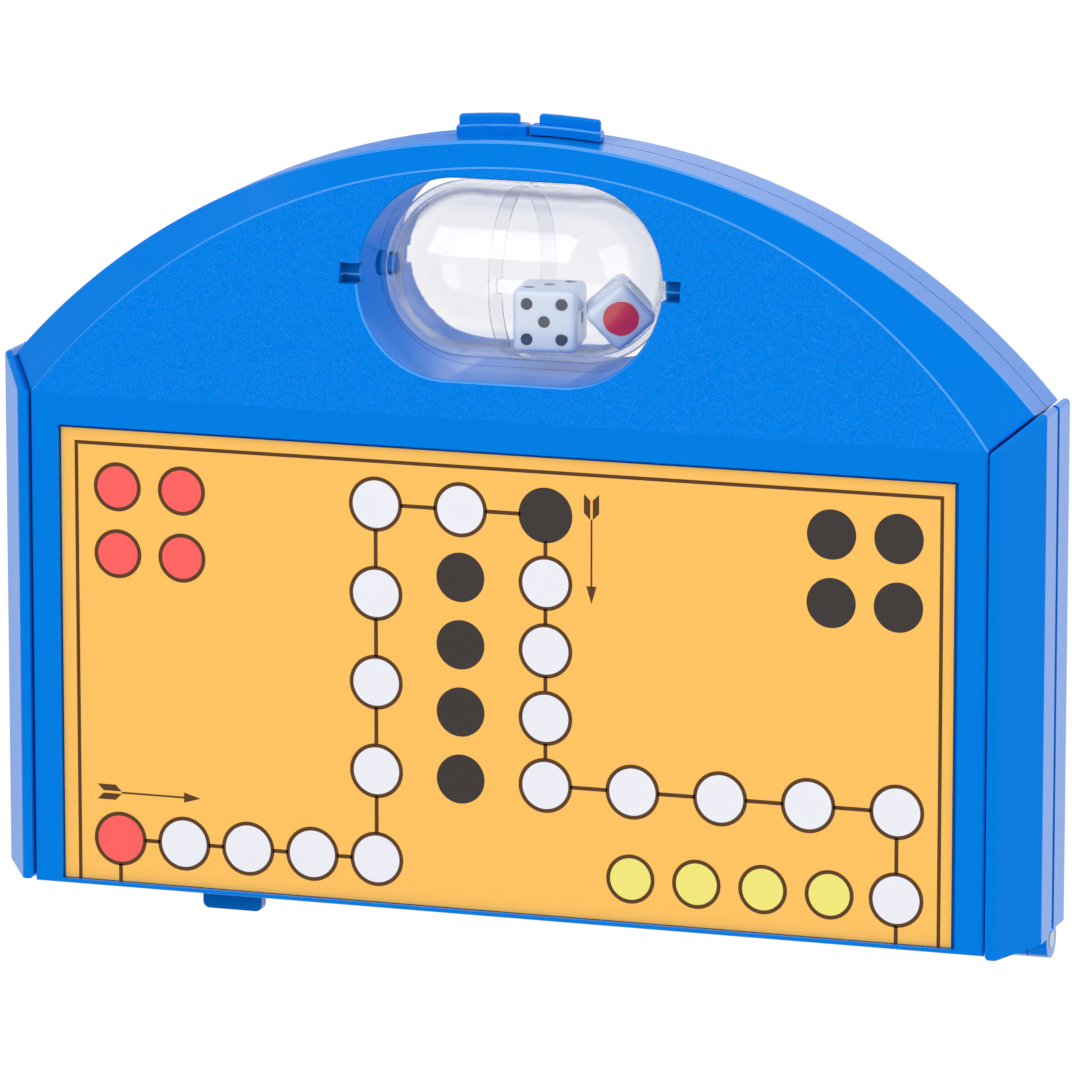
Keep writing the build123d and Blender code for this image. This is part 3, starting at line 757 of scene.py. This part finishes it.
# an arrow that points down beside the top start, or is turned to point along the left arm
def inkArrow(shape, turned):
    look = arrow
    tail = look["tail"]
    slant = look["featherSlant"]
    featherEnd = tail - look["featherLength"]
    neck = look["tip"] + look["headLength"]

    def spot(across, up):
        x = look["offset"] + across
        return (-up, x) if turned else (x, up)

    for side in (-1, 1):
        inner = side * look["featherGap"] / 2
        outer = inner + side * look["feather"]
        inkPatch(shape, [spot(outer, tail), spot(inner, tail - slant), spot(inner, featherEnd - slant),
                         spot(outer, featherEnd)])
    inkBar(shape, spot(0, featherEnd - slant), spot(0, neck), look["shaft"])
    inkPatch(shape, [spot(-look["headHalf"], neck), spot(look["headHalf"], neck), spot(0, look["tip"])])


# lines run from rim to rim between neighbouring circles of the track, and down to the film's foot
def trackLines(shape, foot):
    rim = printing["trackRadius"] + printing["outline"] / 2
    centres = [Vector(centre) for centre in trackCentres()]
    for start, end in zip(centres, centres[1:]):
        inset = (end - start).normalized() * rim
        inkBar(shape, start + inset, end - inset, printing["lineWidth"])
    for x in (-armEnd, armEnd):
        inkBar(shape, (x, beside - rim), (x, foot), printing["lineWidth"])


# the frame line is open at the fold, where the other half goes on
def frameLines(shape, foot):
    edge = printing["frameReach"]
    width = printing["frameWidth"]
    for x in (-edge, edge):
        inkBar(shape, (x, foot), (x, edge + width / 2), width)
    inkBar(shape, (width / 2 - edge, edge), (edge - width / 2, edge), width)


def printHalf(prefix, body, placement, foot, startInk, topInk, sideInk):
    shapes = {ink: bmesh.new() for ink in ("inkBrown", "inkWhite", topInk, startInk, sideInk)}
    lines = shapes["inkBrown"]
    trackLines(lines, foot)
    frameLines(lines, foot)
    inkArrow(lines, False)
    inkArrow(lines, True)
    for ink, x, up, radius in halfCircles(startInk, topInk, sideInk):
        rim = radius + printing["outline"]
        if ink == "inkBlack":
            inkDisc(shapes[ink], rim, x, up)  # black covers its outline too
        else:
            inkDisc(shapes[ink], radius, x, up)
            inkRing(lines, radius, rim, x, up)
    for ink, shape in shapes.items():
        bmesh.ops.transform(shape, matrix=placement, verts=shape.verts)
        finishPiece(f"{prefix}{ink.removeprefix('ink')}Printing", shape, ink, body)


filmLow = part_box("front_board_print")[0]
filmFoot = filmLow.z / mm - printing["middleZ"]
onFront = (Matrix.Translation((0.0, filmLow.y, printing["middleZ"] * mm))
           @ Matrix.Rotation(math.pi / 2, 4, "X")
           @ Matrix.Scale(mm, 4))
onBack = Matrix.Rotation(math.pi, 4, "Z") @ onFront
printHalf("front", "front_case", onFront, filmFoot, "inkRed", "inkBlack", "inkYellow")
printHalf("back", "back_case", onBack, filmFoot, "inkYellow", "inkGreen", "inkRed")
print("boards printed")


# painted pips and spots in the dice, each a thin disc in its sunk seat; a die is turned about its own Z, X
# and Y in that order, and its centre is the centre of its box
numberDie = {
    "node": "number_die",
    "edge": 11.2,
    "turns": (7.7, 0.0, 0.0),
    "radius": 1.03,
    "seatDepth": 0.25,
    "paint": 0.1,
    "pitch": 3.05,
    "steps": 28,
}
colourDie = {
    "node": "colour_die",
    "edge": 9.2,
    "turns": (18.2, 5.3, 47.5),
    "radius": 3.08,
    "seatDepth": 0.15,
    "paint": 0.08,
    "steps": 56,
}
faceTurns = {1: (0, 90, 0), 2: (-90, 0, 0), 3: (0, 0, 0), 4: (0, 180, 0), 5: (90, 0, 0), 6: (0, -90, 0)}
pipPlaces = {
    1: [(0, 0)],
    2: [(-1, -1), (1, 1)],
    3: [(-1, -1), (0, 0), (1, 1)],
    4: [(-1, -1), (-1, 1), (1, -1), (1, 1)],
    5: [(-1, -1), (-1, 1), (0, 0), (1, -1), (1, 1)],
    6: [(-1, -1), (-1, 0), (-1, 1), (1, -1), (1, 0), (1, 1)],
}
# the colour die has four painted spots; its seats at 4 and 6 stay blank
spotInks = {1: "spotBlack", 2: "spotYellow", 3: "spotGreen", 5: "spotRed"}


# turns about the named axes of the piece itself, one after the other
def turning(axes, degrees):
    turns = (Matrix.Rotation(math.radians(angle), 4, axis) for axis, angle in zip(axes, degrees))
    return reduce(matmul, turns)


def paintDot(shape, die, count, across, along):
    low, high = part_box(die["node"])
    dieFrame = Matrix.Translation((low + high) / 2) @ turning("ZXY", die["turns"]) @ Matrix.Scale(mm, 4)
    up = die["edge"] / 2 - die["seatDepth"] + die["paint"] / 2
    place = dieFrame @ turning("XYZ", faceTurns[count]) @ Matrix.Translation((across, along, up))
    bmesh.ops.create_cone(shape, cap_ends=True, segments=die["steps"], radius1=die["radius"],
                          radius2=die["radius"], depth=die["paint"], matrix=place)


pips = bmesh.new()
for count, places in pipPlaces.items():
    for across, along in places:
        paintDot(pips, numberDie, count, across * numberDie["pitch"], along * numberDie["pitch"])
finishPiece("numberDiePips", pips, "pipInk", "dice_capsule")
for count, ink in spotInks.items():
    spot = bmesh.new()
    paintDot(spot, colourDie, count, 0.0, 0.0)
    finishPiece(f"colourDieSpot{count}", spot, ink, "dice_capsule")
print("dice painted")


# the floor lies low enough for the half that swings down when the case opens
studio = {
    "floorSize": 8.0,
    "floorLevel": -0.15,
    "floorColour": (244, 244, 244),
    "floorRoughness": 0.9,
    "floorMirror": 0.1,
    "floorShow": 0.86,
    "floorGlow": 1.06,
    "skyLight": 0.69,
    "skyShown": 1.0,
    "lampAim": (0.0, 0.0, 0.08),
}
# a lamp that isn't seen gives light, but shows neither to the camera nor in mirroring faces
lamps = {
    "keyLamp": {"power": 5.8, "size": 0.9, "place": (-0.55, -0.95, 1.05), "seen": True},
    "fillLamp": {"power": 2.7, "size": 0.8, "place": (0.9, -0.5, 0.55), "seen": True},
    "rearLamp": {"power": 2.4, "size": 0.9, "place": (0.5, 1.25, 0.75), "seen": False},
}
view = {
    "azimuth": math.radians(18.18),
    "elevation": math.radians(11.89),
    "distance": 1570.8 * mm,
    "lookAt": (6.79 * mm, -15.2 * mm, 71.12 * mm),
    "lens": 302.57,
    "sensor": 36.0,
    "nearest": 0.05,
    "farthest": 50.0,
}


# rays that see the backdrop directly, in a mirror or through glass count as seeing it
def seenDirectly(tree):
    path = addNode(tree, "ShaderNodeLightPath").outputs
    straight = mathNode(tree, "MAXIMUM", path["Is Camera Ray"], path["Is Glossy Ray"])
    return mathNode(tree, "MAXIMUM", straight, path["Is Transmission Ray"])


def makeSky():
    world = bpy.data.worlds.new("studioSky")
    world.use_nodes = True
    tree = world.node_tree
    lighting = tree.nodes["Background"]
    shown = addNode(tree, "ShaderNodeBackground")
    feedAll(tree, lighting, {"Color": white, "Strength": studio["skyLight"]})
    feedAll(tree, shown, {"Color": white, "Strength": studio["skyShown"]})
    mixShaders(tree, seenDirectly(tree), lighting, shown, tree.nodes["World Output"])
    bpy.context.scene.world = world


def makeFloor():
    material, tree, shader = newMaterial("floorWhite")
    feedAll(tree, shader, {
        "Base Color": linear(studio["floorColour"]),
        "Roughness": studio["floorRoughness"],
        "Specular IOR Level": studio["floorMirror"],
    })
    glow = addNode(tree, "ShaderNodeEmission")
    glow.inputs["Strength"].default_value = studio["floorGlow"]
    share = mathNode(tree, "MULTIPLY", seenDirectly(tree), studio["floorShow"])
    mixShaders(tree, share, shader, glow, tree.nodes["Material Output"])
    shape = bmesh.new()
    bmesh.ops.create_grid(shape, x_segments=1, y_segments=1, size=studio["floorSize"] / 2,
                          matrix=Matrix.Translation((0.0, 0.0, studio["floorLevel"])))
    makeObject("studioFloor", shape, material)


# lamps and the camera look along their own -Z
def setUp(name, data, place, direction):
    made = bpy.data.objects.new(name, data)
    made.location = place
    made.rotation_euler = direction.to_track_quat("-Z", "Y").to_euler()
    bpy.context.scene.collection.objects.link(made)
    return made


def makeLamp(name, look):
    data = bpy.data.lights.new(name, "AREA")
    data.energy = look["power"]
    data.shape = "SQUARE"
    data.size = look["size"]
    lamp = setUp(name, data, look["place"], Vector(studio["lampAim"]) - Vector(look["place"]))
    lamp.visible_camera = look["seen"]
    lamp.visible_glossy = look["seen"]


def makeCamera():
    level = math.cos(view["elevation"])
    back = Vector((math.sin(view["azimuth"]) * level, -math.cos(view["azimuth"]) * level,
                   math.sin(view["elevation"])))
    data = bpy.data.cameras.new("bench")
    data.lens = view["lens"]
    data.sensor_width = view["sensor"]
    data.sensor_fit = "HORIZONTAL"
    data.clip_start = view["nearest"]
    data.clip_end = view["farthest"]
    place = Vector(view["lookAt"]) + back * view["distance"]
    bpy.context.scene.camera = setUp("bench", data, place, -back)


makeSky()
makeFloor()
for lampName, look in lamps.items():
    makeLamp(lampName, look)
makeCamera()
bpy.context.scene.view_settings.view_transform = "Standard"
print("studio set")
